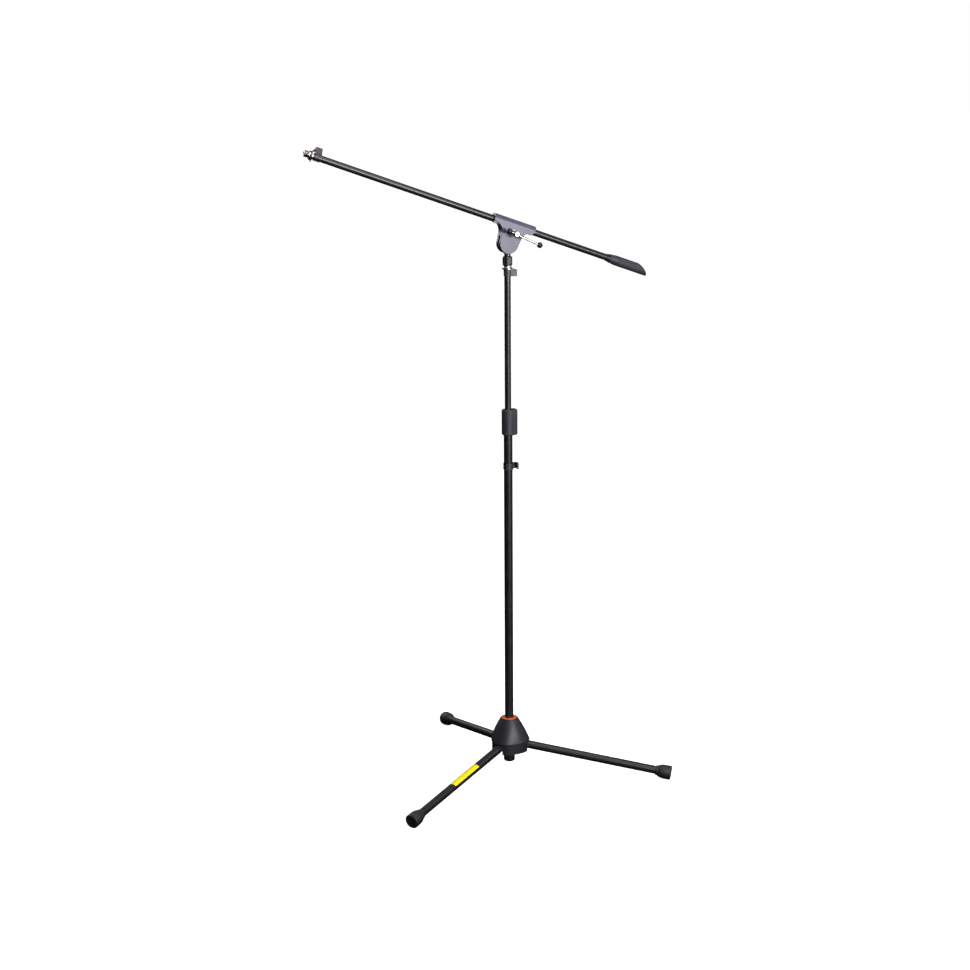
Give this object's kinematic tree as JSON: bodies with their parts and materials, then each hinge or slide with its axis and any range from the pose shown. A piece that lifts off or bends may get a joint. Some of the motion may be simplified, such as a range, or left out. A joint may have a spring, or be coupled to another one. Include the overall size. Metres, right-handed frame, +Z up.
{
  "type": "boom microphone stand",
  "caption": "Floor microphone stand: folding tripod base, telescoping column with a squeeze clutch, and a counter-reaching boom clamped in a tilting swivel.",
  "frame": {"origin": "on the floor, on the column's axis, between the three feet", "axes": "+Z up the column; the boom lies in the XZ plane with its microphone end towards -X; the clamp handle faces -Y"},
  "size_m": [0.887, 0.6603, 1.6106],
  "materials": {
    "black_tube": "satin black powder coat",
    "black_casting": "fine textured black powder coat on die casting",
    "swivel_casting": "satin dark grey powder coat on die casting",
    "black_plastic": "moulded black nylon",
    "clip_plastic": "moulded dark plastic",
    "grip_rubber": "soft-touch black grip",
    "foot_rubber": "matte black rubber",
    "orange_plastic": "moulded orange plastic",
    "yellow_label": "plain yellow vinyl sticker",
    "nickel": "bright nickel plate",
    "neck_metal": "zinc plated steel",
    "zinc_steel": "zinc plated steel",
    "brass_insert": "turned brass",
    "nylon": "natural nylon"
  },
  "bodies": {
    "base": {"bell_housing": "black_casting", "column_ring": "orange_plastic", "leg_carrier": "black_casting", "leg_hinge_pins": "zinc_steel", "carrier_screws": "zinc_steel", "lower_tube": "black_tube", "clutch_body": "grip_rubber", "clutch_cap": "grip_rubber", "clutch_collet": "zinc_steel", "lever_pin": "zinc_steel", "lever_spring": "zinc_steel"},
    "lock_plate": {"lock_plate": "zinc_steel", "lock_stud": "zinc_steel"},
    "lock_knob": {"lock_knob": "black_plastic", "knob_insert": "brass_insert"},
    "clutch_lever": {"clutch_lever": "black_plastic"},
    "lower_clip": {"lower_cable_clip": "clip_plastic"},
    "slider": {"guide_bush": "nylon"},
    "column": {"upper_tube": "black_tube", "upper_tube_plug": "black_plastic", "stop_ring": "zinc_steel", "column_adapter": "nickel", "swivel_neck": "neck_metal"},
    "upper_clip": {"upper_cable_clip": "clip_plastic"},
    "union_nut": {"union_nut": "black_plastic"},
    "head": {"friction_washers": "nylon", "swivel_shell_front": "swivel_casting", "swivel_shell_rear": "swivel_casting", "pivot_pin": "zinc_steel", "clamp_nut": "zinc_steel"},
    "clamp_washer": {"clamp_washer": "zinc_steel"},
    "clamp_spindle": {"clamp_spindle": "nickel"},
    "t_bar": {"t_bar_rod": "nickel", "t_bar_ball_short": "black_plastic", "t_bar_ball_long": "black_plastic"},
    "liner": {"boom_liner": "nylon"},
    "boom": {"boom_tube": "black_tube", "boom_adapter": "nickel", "boom_collar": "black_plastic", "boom_grip": "grip_rubber", "boom_plug": "black_plastic"},
    "boom_clip": {"boom_cable_clip": "clip_plastic"},
    "leg_1": {"leg_tube_1": "black_tube", "leg_heel_1": "black_casting", "heel_rivet_1": "zinc_steel", "rubber_foot_1": "foot_rubber"},
    "leg_2": {"leg_tube_2": "black_tube", "leg_heel_2": "black_casting", "heel_rivet_2": "zinc_steel", "rubber_foot_2": "foot_rubber"},
    "leg_3": {"leg_tube_3": "black_tube", "leg_heel_3": "black_casting", "heel_rivet_3": "zinc_steel", "rubber_foot_3": "foot_rubber", "leg_label": "yellow_label"}
  },
  "joints": [
    {"name": "leg_1_fold", "type": "hinge", "parent": "base", "child": "leg_1", "pos_m": [0.02495, -0.01271, 0.0882], "axis": [0.454, 0.891, 0], "range_deg": [0, 77]},
    {"name": "leg_2_fold", "type": "hinge", "parent": "base", "child": "leg_2", "pos_m": [-0.00146, 0.02796, 0.0882], "axis": [-0.9986, -0.0523, 0], "range_deg": [0, 77]},
    {"name": "leg_3_fold", "type": "hinge", "parent": "base", "child": "leg_3", "pos_m": [-0.02348, -0.01525, 0.0882], "axis": [0.5446, -0.8387, 0], "range_deg": [0, 77]},
    {"name": "knob_turn", "type": "hinge", "parent": "base", "child": "lock_knob", "pos_m": [0, 0, 0.0394], "axis": [0, 0, 1], "range_deg": [0, 360]},
    {"name": "lock_lift", "type": "slide", "parent": "base", "child": "lock_plate", "axis": [0, 0, 1], "range_m": [0, 0.00124]},
    {"name": "lever_squeeze", "type": "hinge", "parent": "base", "child": "clutch_lever", "pos_m": [0.0184, 0, 0.9417], "axis": [0, 1, 0], "range_deg": [0, 4], "stiffness_Nm_per_rad": 0.6, "springref_deg": -2.86},
    {"name": "lower_clip_turn", "type": "hinge", "parent": "base", "child": "lower_clip", "pos_m": [0, 0, 0.8175], "axis": [0, 0, 1], "continuous": true},
    {"name": "column_slide", "type": "slide", "parent": "base", "child": "slider", "axis": [0, 0, 1], "range_m": [-0.31, 0.22]},
    {"name": "column_spin", "type": "hinge", "parent": "slider", "child": "column", "pos_m": [0, 0, 0.608], "axis": [0, 0, 1], "continuous": true},
    {"name": "upper_clip_turn", "type": "hinge", "parent": "column", "child": "upper_clip", "pos_m": [0, 0, 1.299], "axis": [0, 0, 1], "continuous": true},
    {"name": "union_nut_turn", "type": "hinge", "parent": "column", "child": "union_nut", "pos_m": [0, 0, 1.3173], "axis": [0, 0, 1], "range_deg": [0, 120]},
    {"name": "boom_tilt", "type": "hinge", "parent": "column", "child": "head", "pos_m": [0, 0, 1.3703], "axis": [0, 1, 0], "range_deg": [-105, 68]},
    {"name": "clamp_turn", "type": "hinge", "parent": "clamp_washer", "child": "clamp_spindle", "pos_m": [0.00865, -0.0145, 1.39482], "axis": [0, 1, 0], "range_deg": [0, 360]},
    {"name": "clamp_travel", "type": "slide", "parent": "head", "child": "clamp_washer", "axis": [0, -1, 0], "range_m": [0, 0.00124]},
    {"name": "t_bar_slide", "type": "slide", "parent": "clamp_spindle", "child": "t_bar", "axis": [0.9076, 0, -0.4199], "range_m": [-0.05292, 0.00392]},
    {"name": "boom_roll", "type": "hinge", "parent": "head", "child": "liner", "pos_m": [0.0153, 0, 1.41368], "axis": [0.943, 0, -0.3327], "continuous": true},
    {"name": "boom_slide", "type": "slide", "parent": "liner", "child": "boom", "axis": [0.943, 0, -0.3327], "range_m": [-0.205, 0.4495]},
    {"name": "boom_clip_turn", "type": "hinge", "parent": "boom", "child": "boom_clip", "pos_m": [-0.4864, 0, 1.59065], "axis": [0.943, 0, -0.3327], "continuous": true}
  ],
  "couplings": [
    {"joint": "knob_turn", "follows": "lock_lift", "rad_per_m": 5026.5},
    {"joint": "clamp_turn", "follows": "clamp_travel", "rad_per_m": 5026.5}
  ]
}
